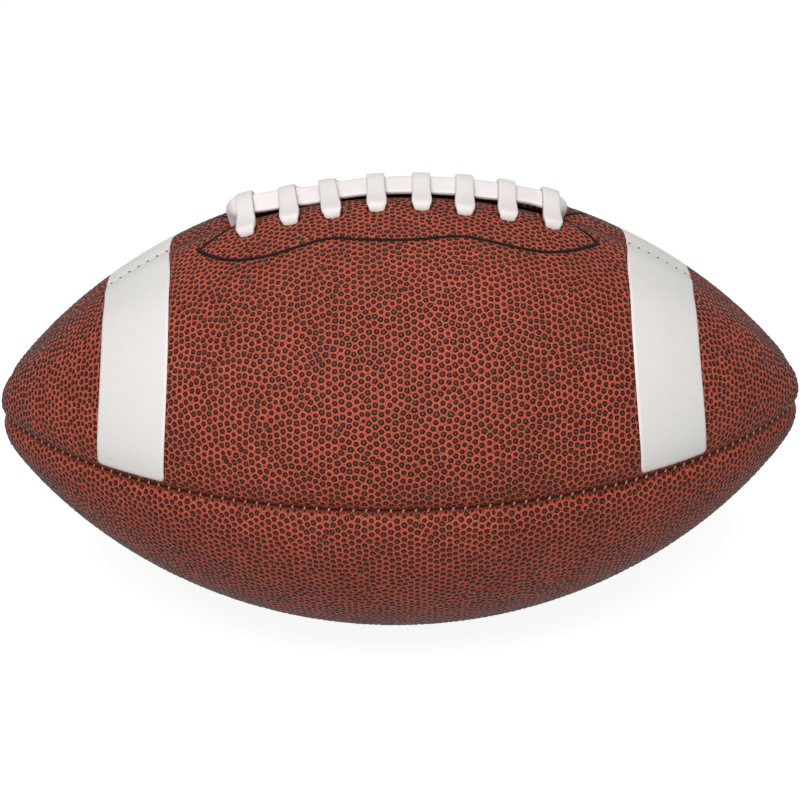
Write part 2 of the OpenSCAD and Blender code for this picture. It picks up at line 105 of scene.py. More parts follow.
def seamDepth(phi, angle):
    # depth of the sewn cover; the laced seam's own groove takes over near the top, but not at the tips
    r = outline(phi)[1]
    s = r * np.abs(np.sin(2 * angle)) / 2
    laced = np.clip(np.sin(angle), 0, 1) ** 2
    nearTip = np.clip(r / (30 * mm), 0, 1)
    laced = laced * nearTip * nearTip * (3 - 2 * nearTip)
    return groove(s) * (1 - laced) + groove(s, "lacedSeam") * laced


# Tables along the ball: arc from the middle, radius, and the stretched length in which a circle stays round
arcTable = np.linspace(-halfArc * 0.9995, halfArc * 0.9995, 6001)
radiusTable = outline(phiAtArc(arcTable))[1]
steps = np.diff(arcTable) * 2 / (radiusTable[1:] + radiusTable[:-1])
stretchTable = np.concatenate([[0], np.cumsum(steps)])
stretchTable -= stretchTable[-1] / 2


def arcAtStretch(w):
    return np.interp(w, stretchTable, arcTable)


def stretchAtArc(arc):
    return np.interp(arc, arcTable, stretchTable)


def radiusAtArc(arc):
    return np.interp(arc, arcTable, radiusTable)


def unit(ways):
    return ways / np.linalg.norm(ways, axis=1, keepdims=True)


def surfaceWays(phi, angle):
    # the ways along the ball and straight out of it
    ca, sa = np.cos(angle), np.sin(angle)
    return (np.stack([np.cos(phi), -np.sin(phi) * ca, -np.sin(phi) * sa], 1),
            np.stack([np.sin(phi), np.cos(phi) * ca, np.cos(phi) * sa], 1))


# Small helpers for meshes and materials
def makeMesh(name, points, faces, material, smooth=True):
    mesh = bpy.data.meshes.new(name)
    mesh.from_pydata(np.asarray(points).tolist(), [], faces.tolist() if hasattr(faces, "tolist") else faces)
    mesh.update()
    if smooth:
        mesh.polygons.foreach_set("use_smooth", np.ones(len(mesh.polygons), bool))
    mesh.materials.append(material)
    obj = bpy.data.objects.new(name, mesh)
    bpy.context.scene.collection.objects.link(obj)
    return obj


def dress(piece, node):
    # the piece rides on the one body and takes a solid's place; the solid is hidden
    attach(piece, "root")
    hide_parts(node)


def pointValues(obj, name, values):
    layer = obj.data.attributes.new(name, "FLOAT", "POINT")
    layer.data.foreach_set("value", np.asarray(values, np.float32))


def gridFaces(rows, columns, closed=False):
    # quads between neighbouring rows of a grid of points, round to the first column when closed
    i, j = np.meshgrid(np.arange(rows - 1), np.arange(columns if closed else columns - 1), indexing="ij")
    a, b = (i * columns + j).ravel(), (i * columns + (j + 1) % columns).ravel()
    return np.stack([a, b, b + columns, a + columns], 1)


def tubeFaces(rings, side):
    # quads round a row of rings and a fan to one more point at each end, all facing outwards
    last, total = (rings - 1) * side, rings * side
    around = [(j, (j + 1) % side) for j in range(side)]
    return (gridFaces(rings, side, closed=True).tolist() + [[b, a, total] for a, b in around]
            + [[last + a, last + b, total + 1] for a, b in around])


def facesOut(points, tris):
    # True when the faces' normals point away from the ball's long axis
    p = points[tris]
    normal = np.cross(p[:, 1] - p[:, 0], p[:, 2] - p[:, 0])
    away = p.mean(1) * [0, 1, 1] - [0, 0, restHeight]
    return (normal * away).sum() > 0


def nextInGroup(owner):
    # the place of the next entry with the same owner, and of the first one after the last
    first = np.flatnonzero(np.concatenate([[True], owner[1:] != owner[:-1]]))
    following = np.arange(len(owner)) + 1
    following[np.append(first[1:], len(owner)) - 1] = first
    return following


def crossOf(u, v):
    return u[:, 0] * v[:, 1] - u[:, 1] * v[:, 0]


def linear(colour):
    # an sRGB hex colour as linear red, green, blue and alpha
    c = [int(colour[k:k + 2], 16) / 255 for k in (1, 3, 5)]
    return [v / 12.92 if v <= 0.04045 else ((v + 0.055) / 1.055) ** 2.4 for v in c] + [1]


def addNode(tree, kind, settings=None, inputs=None):
    # a node with its settings; an input is another node's output, or a plain number or colour
    node = tree.nodes.new(kind)
    for key, value in (settings or {}).items():
        setattr(node, key, value)
    for key, value in (inputs or {}).items():
        if isinstance(value, bpy.types.NodeSocket):
            tree.links.new(value, node.inputs[key])
        else:
            node.inputs[key].default_value = value
    return node


def newMaterial(name):
    material = bpy.data.materials.new(name)
    material.use_nodes = True
    material.node_tree.nodes.clear()
    return material, material.node_tree


def maths(tree, way, *values):
    return addNode(tree, "ShaderNodeMath", {"operation": way}, dict(enumerate(values))).outputs[0]


def meshValue(tree, name):
    # a value that the mesh carries at each of its points
    return addNode(tree, "ShaderNodeAttribute", {"attribute_name": name}).outputs["Fac"]


def texture(tree, kind, settings, inputs, output="Fac"):
    # a texture laid over the object, in metres
    place = addNode(tree, "ShaderNodeTexCoord").outputs["Object"]
    return addNode(tree, kind, settings, {"Vector": place, **inputs}).outputs[output]


def noise(tree, scale, detail=3.0, roughness=0.5):
    return texture(tree, "ShaderNodeTexNoise", {}, {"Scale": scale, "Detail": detail, "Roughness": roughness})


def blend(tree, share, low, high, way="MIX"):
    # each end is a hex colour or another node's output
    low, high = [linear(end) if isinstance(end, str) else end for end in (low, high)]
    return addNode(tree, "ShaderNodeMix", {"data_type": "RGBA", "blend_type": way},
                   {"Factor": share, 6: low, 7: high}).outputs[2]


def ranged(tree, value, low, high, toLow, toHigh):
    return addNode(tree, "ShaderNodeMapRange", {}, {"Value": value, "From Min": low, "From Max": high,
                                                    "To Min": toLow, "To Max": toHigh}).outputs["Result"]


def bumped(tree, height, strength, depth, settings=None, more=None):
    return addNode(tree, "ShaderNodeBump", settings, {"Height": height, "Strength": strength,
                                                      "Distance": depth, **(more or {})}).outputs[0]


def coat(tree, colour, roughness, normal, more=None):
    shader = addNode(tree, "ShaderNodeBsdfPrincipled", {},
                     {"Base Color": colour, "Roughness": roughness, "Normal": normal, **(more or {})})
    addNode(tree, "ShaderNodeOutputMaterial", {}, {"Surface": shader.outputs[0]})


# Pebbled composite leather: embossed under heat, dark tops rubbed over a red-brown ground; each pebble's
# lighter middle is a painted highlight and its darker rim is painted shade
leatherLook = {
    "paintedPebbleHighlight": "#6b4b3b", "pebbleTop": "#27120a", "paintedPebbleRimShade": "#1e0803", "pebbleSide": "#702a1a",
    # seam is painted shade in the seam crease; cutEdgeAndShade is the cut edge's own dark colour with painted
    # shade where it turns down
    "valley": "#c65c46", "valleyDeep": "#8a3526", "ink": "#080605", "cutEdgeAndShade": "#2c0f0a", "seam": "#1c0806",
    "stops": (0.4, 0.64, 0.77, 0.88, 0.99), "roughness": (0.3, 0.7), "specular": 0.14,
}


def pebbledLeather():
    material, tree = newMaterial("pebbledCompositeLeather")
    spot = addNode(tree, "ShaderNodeUVMap", {"uv_map": "grain"})
    length = addNode(tree, "ShaderNodeVectorMath", {"operation": "LENGTH"}, {0: spot.outputs[0]})
    # fine creases in the coating, about 0.4 mm, and slow changes over centimetres
    fine, slow = noise(tree, 2500.0, roughness=0.6), noise(tree, 45.0)
    outwards = maths(tree, "MULTIPLY_ADD", meshValue(tree, "rim"), 0.4,
                     maths(tree, "MULTIPLY", length.outputs["Value"], 0.6))
    bias = maths(tree, "ADD", maths(tree, "MULTIPLY_ADD", fine, 0.16, outwards), meshValue(tree, "tone"))
    ramp = addNode(tree, "ShaderNodeValToRGB", {}, {"Fac": bias})
    stops = ramp.color_ramp.elements
    # the ramp's first stop is a painted highlight in the middle of each pebble
    stops[0].color, stops[1].color = linear(leatherLook["paintedPebbleHighlight"]), linear(leatherLook["valleyDeep"])
    # the rim stop is painted shade on each pebble's flank
    looks = ("pebbleTop", "paintedPebbleRimShade", "pebbleSide", "valley", "valley")
    for place, look in zip(leatherLook["stops"], looks):
        stops.new(place).color = linear(leatherLook[look])
    colour = blend(tree, 1.0, ramp.outputs["Color"], ranged(tree, slow, 0.3, 0.7, 0.88, 1.1), "MULTIPLY")
    # painted shade in the seam crease, then the cut edge's dark colour with painted shade, then the black
    # outline
    for value, look in (("paintedSeamShade", "seam"), ("cutEdgeAndShade", "cutEdgeAndShade"), ("ink", "ink")):
        colour = blend(tree, meshValue(tree, value), colour, leatherLook[look])
    coat(tree, colour, ranged(tree, bias, 0.4, 1.0, *leatherLook["roughness"]),
         bumped(tree, fine, 0.35, 0.12 * mm), {"Specular IOR Level": leatherLook["specular"]})
    return material


# White coated stripe material: a smooth polyurethane film over the same faint pebble
def whiteCoating():
    material, tree = newMaterial("whiteCoatedComposite")
    pebble = texture(tree, "ShaderNodeTexVoronoi", {"feature": "SMOOTH_F1"},
                     {"Scale": 1 / (2.3 * mm), "Smoothness": 0.5}, "Distance")
    colour = blend(tree, meshValue(tree, "seamShade"), blend(tree, pebble, "#e6e3e0", "#e2dfdc"), "#8d8a8c")
    low = bumped(tree, pebble, 0.3, 0.1 * mm, {"invert": True})
    coat(tree, colour, 0.45, bumped(tree, noise(tree, 1800.0), 0.2, 0.05 * mm, {}, {"Normal": low}))
    return material


# Soft vinyl lace: extruded PVC strip, satin, with painted warm shade where it bends down into a hole
def laceVinyl():
    material, tree = newMaterial("extrudedVinylLace")
    colour = blend(tree, noise(tree, 220.0, 4.0), "#e9e3e2", "#e2dbd9")
    # painted shade where the lace goes down into a hole
    colour = blend(tree, meshValue(tree, "paintedHoleShade"), colour, "#d3c7ae")
    coat(tree, colour, 0.48, bumped(tree, noise(tree, 1500.0), 0.15, 0.05 * mm),
         {"Subsurface Weight": 0.08, "Subsurface Scale": 2 * mm})
    return material


# Plain pieces: waxed thread, woven cotton, split leather and moulded butyl rubber
def plainMaterial(name, low, high, scale, roughness, depth, detail=4.0, woven=False):
    material, tree = newMaterial(name)
    if woven:
        height = maths(tree, "MAXIMUM", *[texture(tree, "ShaderNodeTexWave", {"bands_direction": way},
                                                  {"Scale": scale, "Distortion": 1.0}) for way in "XY"])
    else:
        height = noise(tree, scale, detail)
    coat(tree, blend(tree, height, low, high), roughness, bumped(tree, height, 0.4, depth))
    return material


leather = pebbledLeather()
coating = whiteCoating()
vinyl = laceVinyl()
# polyester thread drawn through wax, golden in the seams; near-black in the laced seam, as painted shadow of
# the stitch holes
thread = plainMaterial("waxedGoldenThread", "#e0c49a", "#7d5a36", 900.0, 0.6, 0.1 * mm, 3.0)
holeShadowThread = plainMaterial("threadPaintedAsHoleShadow", "#1c1917", "#0e0c0b", 900.0, 0.6, 0.1 * mm, 3.0)
# cotton woven at 0.8 mm, leather split and left rough, and rubber out of a blasted mould
cotton = plainMaterial("wovenCottonLining", "#b3a688", "#d9cfb6", 1 / (0.8 * mm) / 6, 0.85, 0.15 * mm,
                       woven=True)
splitLeather = plainMaterial("splitLeatherFacing", "#6f5a42", "#a08a6c", 1 / (0.6 * mm), 0.8, 0.1 * mm)
butyl = plainMaterial("mouldedButylBladder", "#1d1d1f", "#2c2c2f", 1 / (1.5 * mm), 0.5, 0.05 * mm)
valveRubber = plainMaterial("mouldedValveRubber", "#161618", "#26262a", 1 / (0.5 * mm), 0.55, 0.04 * mm)
print("materials made")

# Places of the laces, the slit and the valve, as in the solids
lacing = {
    "count": 8, "pitch": 14.7 * mm, "holeRadius": 2.5 * mm, "holeShift": 1.3 * mm, "backHole": 16 * mm,
    "frontHoles": np.array([16, 16, 16.4, 15, 14.6, 15.9, 15.4, 14.1]) * mm,
    # how far each cross was pushed along the ball at its top and at its front hole
    "topShift": np.array([0, -0.6, -1.7, 0, 0.7, 0.6, 0, 0]) * mm,
    "lowShift": np.array([0.15, 0.45, 0, 0.35, 0.7, 0.45, 0.3, 1.1]) * mm,
    "endReach": 5.2 * mm, "endHoleRadius": 3.3 * mm, "endHoleShift": 1.5 * mm, "slitHalf": 2.5 * mm,
}
crossX = (np.arange(lacing["count"]) - (lacing["count"] - 1) / 2) * lacing["pitch"]
endX = crossX[-1] + lacing["endReach"]
crossArc = sideRadius * phiAtX(crossX)
endArc = sideRadius * float(phiAtX(np.array(endX)))
valveHole = {"angle": np.pi / 4, "radius": 3.3 * mm}
# A stripe's edges run along the ball at these arcs and bow outwards either side of bowAt
stripe = {
    "inner": 77.35 * mm, "outer": 105.1 * mm, "bow": 8.2 * mm, "bowAt": np.radians(52),
    "low": 0.25 * mm, "top": -0.15 * mm, "bed": 0.45 * mm, "frontInset": 2.6 * mm, "corner": 2 * mm,
    "backBow": 3 * mm, "backShift": 4.75 * mm, "seamGap": 0.12 * mm,
    # the sheet's edge turns down by this depth over this width; shade beside the seam and below the sheet
    "edgeTurn": 0.3 * mm, "edgeWidth": 0.35 * mm, "shadeWidth": 1.2 * mm, "shade": 0.25, "lowShade": 0.6,
}


def stripeBow(theta, toFront):
    # how far outwards the edges lie at this turn from the laced seam; the back stripes bow less
    turned = (theta - stripe["bowAt"]) ** 2
    return stripe["bow"] * turned if toFront else stripe["backShift"] + stripe["backBow"] * turned


def stripeEdge(arc, theta, toFront):
    # distance outside the edge of a stripe, negative inside
    along = np.abs(arc) - stripeBow(theta, toFront)
    toSeam = (np.pi / 2 - theta) * radiusAtArc(arc) - stripe["frontInset"]
    return np.maximum.reduce([stripe["inner"] - along, along - stripe["outer"], -toSeam])


# Panels: a layer of pebbles, each one cell of an irregular honeycomb, and a plain inner face
grain = {
    "pitch": 2.38 * mm, "valley": 0.34 * mm, "dome": 0.45 * mm, "jitter": 0.4, "settling": 3,
    "rings": (0.45, 0.72), "ringHeights": (0.88, 0.35), "endRadius": 1.4 * mm, "tone": 0.06,
    "inkWidth": 1.1 * mm, "inkBed": 0.54 * mm, "inkTop": 0.15 * mm,
    "coverThickness": 2.2 * mm, "innerPitch": 9 * mm, "paintedSeamShadeWidth": 0.75 * mm,
    # how far plain leather reaches beside a seam, under a stripe, beside the outline and round a cut edge
    "bareWidth": 1.3 * mm, "bareTone": 0.55, "underStripe": 0.9 * mm, "stripeFade": 0.6 * mm,
    "channel": 1.45 * mm, "channelFade": 0.7 * mm, "cutSmooth": 1.3 * mm, "cutTurn": 0.7 * mm,
    "cutShade": 0.35 * mm, "tipReach": 12 * mm, "tipRelief": 0.25, "bareRelief": 0.8,
    # in pitches: twins beside an edge, free points off it, ghosts deep in a cut, and mirrored points
    "twinGap": 0.42, "edgeGap": 0.85, "deepGap": 0.7, "twinClear": 0.2, "mirrored": 3.5, "mirroredEnd": 1.2,
    "innerTip": 3 * mm, "innerGap": 2.5 * mm, "sizes": (-0.12, 0.1),
}
# Moulded outline round the lacing: distance along the ball and from the laced seam, in millimetres
inkLower = [
    (-68.2, 15.9), (-63.5, 21.9), (-58.1, 27), (-51.9, 30.5), (-45.6, 31.9), (-40, 32.2), (-33.7, 31.1),
    (-25.1, 29.5), (-19, 30), (-13.7, 31.5), (-2.3, 33), (7.9, 32.5), (15.8, 30.7), (22, 29.8),
    (30.8, 30.8), (37.9, 31.5), (45.6, 31.2), (51.2, 29.5), (58.1, 25.3), (64.2, 19.8), (68.2, 15.5)]
inkLeft = [(-52.5, 0.6), (-56.7, 4.8), (-61.5, 9.8), (-68.2, 15.9)]
inkRight = [(68.2, 15.5), (62.8, 8.1), (57.6, 2.1), (56.3, 0.6)]


def smoothLine(points, count):
    # a Catmull-Rom curve through the points
    p = np.array(points, float)
    p = np.concatenate([[2 * p[0] - p[1]], p, [2 * p[-1] - p[-2]]])
    t = np.linspace(0, len(points) - 1 - 1e-9, count)
    k, f = t.astype(int), (t % 1)[:, None]
    a, b, c, d = p[k], p[k + 1], p[k + 2], p[k + 3]
    bend, twist = 2 * a - 5 * b + 4 * c - d, 3 * b - a - 3 * c + d
    return 0.5 * (2 * b + (c - a) * f + bend * f ** 2 + twist * f ** 3)


inkLine = np.concatenate([smoothLine(inkLeft, 70)[:-1], smoothLine(inkLower, 500)[:-1],
                          smoothLine(inkRight, 70)]) * mm


def inkDistance(x, s):
    # distance to the nearest point of the moulded outline, in blocks so that the table stays small
    near = np.full(len(x), 1.0)
    close = np.flatnonzero((np.abs(x) < 0.075) & (s < 0.042))
    for part in np.array_split(close, max(1, len(close) // 4000)):
        d = np.hypot(x[part, None] - inkLine[None, :, 0], s[part, None] - inkLine[None, :, 1])
        near[part] = d.min(1)
    return near


def inkRibbon(turned):
    # a thin closed band along the moulded outline; it lies in its channel
    run = unit(np.gradient(inkLine, axis=0))
    half = np.stack([-run[:, 1], run[:, 0]], 1) * grain["inkWidth"] / 2
    rims = np.stack([inkLine - half, inkLine + half, inkLine + half, inkLine - half], 1)
    phi = phiAtX(rims[..., 0])
    theta = rims[..., 1] / outline(phi)[1]
    angle = np.pi / 2 + turned * theta
    depths = seamDepth(phi, angle) + np.array([0, 0, 1, 1]) * mm + grain["inkTop"]
    points = surface(phi, angle, depths).reshape(-1, 3)
    quads = np.concatenate([gridFaces(len(inkLine), 4, closed=True),
                            [[3, 2, 1, 0], np.arange(4) + 4 * (len(inkLine) - 1)]])
    tris = np.concatenate([quads[:, [0, 1, 2]], quads[:, [0, 2, 3]]])
    return points, tris if facesOut(points, tris[:1]) else tris[:, ::-1]


def cellsOf(points, real):
    # Voronoi cells: corners are the centres of the triangles' circles, sorted round each point
    faces = delaunay_2d_cdt([Vector(p) for p in points.tolist()], [], [], 0, 1e-9)
    outPoints = np.array([tuple(p) for p in faces[0]])
    origin = np.array([o[0] if len(o) else -1 for o in faces[3]])
    tri = np.array(faces[2])
    a, b, c = outPoints[tri[:, 0]], outPoints[tri[:, 1]], outPoints[tri[:, 2]]
    ab, ac = b - a, c - a
    cross = 2 * crossOf(ab, ac)
    keep = np.abs(cross) > 1e-12
    tri, a, ab, ac, cross = tri[keep], a[keep], ab[keep], ac[keep], cross[keep]
    across = ac * (ab ** 2).sum(1)[:, None] - ab * (ac ** 2).sum(1)[:, None]
    centre = a + np.stack([across[:, 1], -across[:, 0]], 1) / cross[:, None]
    # corners that fall on the same spot are one corner
    key = np.round(centre / 2e-6).astype(np.int64)
    key, first, same = np.unique(key, axis=0, return_index=True, return_inverse=True)
    corners = centre[first]
    owner, corner = origin[tri].ravel(), np.repeat(same.reshape(-1), 3)
    keep = (owner >= 0) & real[owner]
    owner, corner = np.unique(np.stack([owner[keep], corner[keep]], 1), axis=0).T
    d = corners[corner] - points[owner]
    order = np.lexsort((np.arctan2(d[:, 1], d[:, 0]), owner))
    owner, corner = owner[order], corner[order]
    return corners, owner, corner, corner[nextInGroup(owner)]


def panelPoints(seed):
    # staggered rows of points, shaken a little; rows and spacing follow the girth
    random = np.random.default_rng(seed)
    rowStep = grain["pitch"] * np.sqrt(3) / 2
    endArcHere = float(arcTable[radiusTable > grain["endRadius"]].max())
    rowCount = int(2 * endArcHere / rowStep)
    rowArc = (np.arange(rowCount) - (rowCount - 1) / 2) * (2 * endArcHere / rowCount)
    rows = []
    for k, arc in enumerate(rowArc):
        n = max(1, int(round(radiusAtArc(arc) * np.pi / 2 / grain["pitch"])))
        shift = 0.25 if k % 2 else -0.25
        across = (np.arange(n) + 0.5 + shift * (n > 2)) / n * np.pi / 2
        rows.append(np.stack([np.full(n, arc), across], 1))
    points = np.concatenate(rows)
    r = radiusAtArc(points[:, 0])
    points[:, 0] += random.uniform(-1, 1, len(points)) * grain["jitter"] * grain["pitch"]
    points[:, 1] += random.uniform(-1, 1, len(points)) * grain["jitter"] * grain["pitch"] / r
    points[:, 1] = np.clip(points[:, 1], 0.3 * grain["pitch"] / r, np.pi / 2 - 0.3 * grain["pitch"] / r)
    points[:, 0] = stretchAtArc(points[:, 0])
    return points, stretchAtArc(endArcHere)


def insideCuts(points, holes, margin, slit=True):
    # True where a point lies in a hole or in the slit, or nearer to its edge than the margin
    arc = arcAtStretch(points[:, 0])
    r = radiusAtArc(arc)
    inside = np.zeros(len(points), bool)
    for holeArc, across, radius in holes:
        d = np.hypot(arc - holeArc, (points[:, 1] - across) * r)
        inside |= d < radius + margin
    if slit and holes:
        inside |= (np.abs(arc) < endArc) & (points[:, 1] * r < lacing["slitHalf"] + margin)
    return inside


def borderTwins(holes):
    # real points just outside each cut edge and twins just inside, so that the cells end on the edge
    if not holes:
        return np.zeros((0, 2)), np.zeros((0, 2))
    twins = []
    for holeArc, across, radius in holes:
        r = radiusAtArc(holeArc)
        ring, spacing = radius / r, grain["pitch"] / r
        n = max(8, int(round(2 * np.pi * (ring + spacing / 2) / spacing)))
        a = np.arange(n) * 2 * np.pi / n
        circle, centre = np.stack([np.cos(a), np.sin(a)], 1), np.array([stretchAtArc(holeArc), across])
        twins.append([centre + circle * (ring + side * spacing * grain["twinGap"]) for side in (1, -1)])
    n = int(2 * endArc / grain["pitch"])
    arc = (np.arange(n) - (n - 1) / 2) / (n - 1) * 2 * (endArc - lacing["endHoleRadius"] * 0.5)
    w, r, gap = stretchAtArc(arc), radiusAtArc(arc), grain["pitch"] * grain["twinGap"]
    twins.append([np.stack([w, (lacing["slitHalf"] + side * gap) / r], 1) for side in (1, -1)])
    real, ghost = zip(*twins)
    return np.concatenate(real), np.concatenate(ghost)


def settledCells(seed, holes):
    # the pebbles' middles after a few rounds of settling, and the cells round them
    pitch, mirroredEnd = grain["pitch"], grain["mirroredEnd"]
    points, end = panelPoints(seed)
    twinReal, twinGhost = borderTwins(holes)
    if holes:
        cut = insideCuts(twinReal, holes, grain["twinClear"] * pitch, slit=False)
        twinReal = twinReal[~cut & (twinReal[:, 1] > 0)]
    loose = points[~insideCuts(points, holes, pitch * grain["edgeGap"])]
    deep = points[insideCuts(points, holes, -pitch * grain["deepGap"])]
    for step in range(grain["settling"] + 1):
        own = np.concatenate([loose, twinReal])
        r = radiusAtArc(arcAtStretch(own[:, 0]))
        band = grain["mirrored"] * pitch
        low = own[own[:, 1] * r < band] * [1, -1]
        high = own[(np.pi / 2 - own[:, 1]) * r < band] * [1, -1] + [0, np.pi]
        left = own[own[:, 0] < -end + mirroredEnd] * [-1, 1] + [-2 * end, 0]
        right = own[own[:, 0] > end - mirroredEnd] * [-1, 1] + [2 * end, 0]
        sides = np.concatenate([left, right])
        corners = np.concatenate([sides * [1, -1], sides * [1, -1] + [0, np.pi]])
        ghosts = np.concatenate([low, high, sides, corners, twinGhost, deep, deep * [1, -1]])
        everything = np.concatenate([own, ghosts])
        real = np.arange(len(everything)) < len(own)
        cornersAt, owner, a, b = cellsOf(everything, real)
        if step == grain["settling"]:
            return own, cornersAt, owner, a, b
        # each free point moves to the middle of its cell
        p, ca, cb = everything[owner], cornersAt[a], cornersAt[b]
        area = np.abs(crossOf(ca - p, cb - p))
        middle = (p + ca + cb) / 3
        weight = area * radiusAtArc(arcAtStretch(middle[:, 0])) ** 2
        total = np.bincount(owner, weight, len(own))
        settled = [np.bincount(owner, weight * middle[:, k], len(own)) / total for k in (0, 1)]
        loose = np.stack(settled, 1)[:len(loose)]


def makePanel(name, node, start, turned, seed, holes):
    # turned is 1 where the panel reaches from its start to the front side, and -1 to the back
    own, corners, owner, a, b = settledCells(seed, holes)
    cellCount, edgeCount = len(own), len(owner)
    spread = np.hypot(*(corners[a] - own[owner]).T)
    radius = np.bincount(owner, spread, cellCount) / np.bincount(owner, None, cellCount)
    # cells well under a stripe stay plain
    outside = stripeEdge(arcAtStretch(own[:, 0]), own[:, 1], turned > 0)
    flat = outside < -grain["pitch"] if holes else np.zeros(cellCount, bool)
    random = np.random.default_rng(seed + 50)
    size = 1 + random.uniform(*grain["sizes"], cellCount)
    pebbled = np.flatnonzero(~flat[owner])
    plain = np.flatnonzero(flat[owner])

    # vertices: cell middles, two rings in each pebbled cell, then the shared corners
    used, corner = np.unique(np.concatenate([a, b]), return_inverse=True)
    a, b = corner[:edgeCount], corner[edgeCount:]
    cornerAt = corners[used]
    slotOf = np.full(edgeCount, -1)
    slotOf[pebbled] = np.arange(len(pebbled))
    middle = own[owner[pebbled]]
    ringPlaces = [middle + (cornerAt[a[pebbled]] - middle) * share for share in grain["rings"]]
    planar = np.concatenate([own] + ringPlaces + [cornerAt])
    counts = [cellCount, len(pebbled), len(pebbled), len(cornerAt)]
    base1, base2, baseC = np.cumsum(counts)[:3]
    centre = owner[pebbled]
    cellOf = np.concatenate([np.arange(cellCount), centre, centre, np.full(len(cornerAt), -1)])
    height = np.repeat([1, *grain["ringHeights"], 0], counts)
    rim = np.repeat([0, *grain["rings"], 1], counts)
    sizeHere = np.where(cellOf >= 0, size[cellOf], 1)

    # depth of each vertex: seam groove, valley between pebbles, moulded outline and turned edges
    arcHere = arcAtStretch(planar[:, 0])
    rHere = radiusAtArc(arcHere)
    phi = phiAtArc(arcHere)
    angle = start + turned * planar[:, 1]
    acrossHere = planar[:, 1] * rHere
    covered, channel = 0 * rHere, 0 * rHere
    if holes:
        outside = stripeEdge(arcHere, planar[:, 1], turned > 0)
        covered = np.clip((grain["underStripe"] - outside) / grain["stripeFade"], 0, 1)
        ink = inkDistance(outline(phi)[0], acrossHere)
        channel = np.clip((grain["channel"] - ink) / grain["channelFade"], 0, 1)
    fromSeam = rHere * np.abs(np.sin(2 * angle)) / 2
    bare = np.exp(-(fromSeam / grain["bareWidth"]) ** 2)
    edge = np.full(len(planar), 1.0)
    for holeArc, holeAcross, holeRadius in holes:
        d = np.hypot(arcHere - holeArc, (planar[:, 1] - holeAcross) * rHere) - holeRadius
        edge = np.minimum(edge, np.maximum(d, 0))
    if holes:
        inSlit = np.abs(arcHere) < endArc
        edge = np.where(inSlit, np.minimum(edge, np.maximum(acrossHere - lacing["slitHalf"], 0)), edge)
    # the pebbles are lower near the tips, and fade out beside a seam, a stripe, the outline and a cut edge
    low = np.clip(rHere / grain["tipReach"], grain["tipRelief"], 1)
    relief = (1 - covered) * low * (1 - channel) * (1 - grain["bareRelief"] * bare)
    relief *= 1 - np.exp(-(edge / grain["cutSmooth"]) ** 2)
    depth = seamDepth(phi, angle) + (grain["valley"] - grain["dome"] * height * sizeHere) * relief
    depth += grain["inkBed"] * channel + stripe["bed"] * covered
    depth += grain["cutTurn"] * np.exp(-(edge / grain["cutTurn"]) ** 2)
    outer = surface(phi, angle, depth)
    outer[:, 2] = np.maximum(outer[:, 2], 0)

    # faces: fan, then two bands; plain cells are one fan
    s, sn = slotOf[pebbled], slotOf[nextInGroup(owner)[pebbled]]
    r1, r1n, r2, r2n = base1 + s, base1 + sn, base2 + s, base2 + sn
    c1, c2 = baseC + a[pebbled], baseC + b[pebbled]
    tris = np.concatenate([np.stack(corners3, 1) for corners3 in (
        (centre, r1, r1n), (r1, r2, r2n), (r1, r2n, r1n), (r2, c1, c2), (r2, c2, r2n),
        (owner[plain], baseC + a[plain], baseC + b[plain]))])
    # grain map: how far each corner of a face lies from its pebble's middle, in cell radii
    cellOfTri = np.concatenate([centre] * 5 + [owner[plain]])
    grainMap = (planar[tris] - own[cellOfTri][:, None]) / radius[cellOfTri][:, None, None]

    # the open edge, walked as single edges, gets a wall and the inner face
    keys, back = a.astype(np.int64) * len(cornerAt) + b, b.astype(np.int64) * len(cornerAt) + a
    border = np.stack([a, b], 1)[~np.isin(keys, back)]
    rimVertices = np.unique(border)
    innerIndex = np.full(len(cornerAt), -1)
    innerIndex[rimVertices] = np.arange(len(rimVertices))
    innerPlanar, innerTris = innerFace(holes, cornerAt[rimVertices], innerIndex[border])
    innerArc = arcAtStretch(innerPlanar[:, 0])
    innerAngle = start + turned * innerPlanar[:, 1]
    fromSeamInside = radiusAtArc(innerArc) * np.abs(np.sin(2 * innerAngle)) / 2
    inner = surface(phiAtArc(innerArc), innerAngle, groove(fromSeamInside) + grain["coverThickness"])
    total = len(outer)
    low = total + innerIndex[border]
    wall = np.concatenate([np.stack([baseC + border[:, 0], low[:, 0], low[:, 1]], 1),
                           np.stack([baseC + border[:, 0], low[:, 1], baseC + border[:, 1]], 1)])
    allTris = np.concatenate([tris, wall, total + innerTris[:, ::-1]])
    uv = np.concatenate([grainMap, np.ones((len(wall) + len(innerTris), 3, 2))])
    if turned > 0:
        allTris, uv = allTris[:, ::-1], uv[:, ::-1]
    extra, extraTris = inkRibbon(turned) if holes else (np.zeros((0, 3)), np.zeros((0, 3), int))
    allTris = np.concatenate([allTris, extraTris + total + len(inner)])
    uv = np.concatenate([uv, np.ones((len(extraTris), 3, 2))])
    piece = makeMesh(name, np.concatenate([outer, inner, extra]), allTris, leather)
    piece.data.uv_layers.new(name="grain").data.foreach_set("uv", uv.reshape(-1).astype(np.float32))
    # values on the outer side, then on the inner face and on the moulded outline
    cellTone = random.normal(0, grain["tone"], cellCount)
    values = {
        "rim": (rim, 1, 1),
        "tone": (np.where(cellOf >= 0, cellTone[cellOf], 0) + grain["bareTone"] * bare, 0, 0),
        "ink": (0 * rim, 0, 1),
        # the cut edge's own darker colour together with painted shade where the leather turns down into a
        # hole or the slit
        "cutEdgeAndShade": (np.exp(-(edge / grain["cutShade"]) ** 2), 1, 0),
        # painted shade in and just beside the seam crease, and over the inner face
        "paintedSeamShade": (np.exp(-(fromSeam / grain["paintedSeamShadeWidth"]) ** 2), 1, 0),
    }
    for key, (shown, inside, inked) in values.items():
        rest = [np.full(len(inner), inside), np.full(len(extra), inked)]
        pointValues(piece, key, np.concatenate([shown, *rest]))
    print(name, "cells", cellCount, "triangles", len(allTris))
    dress(piece, node)


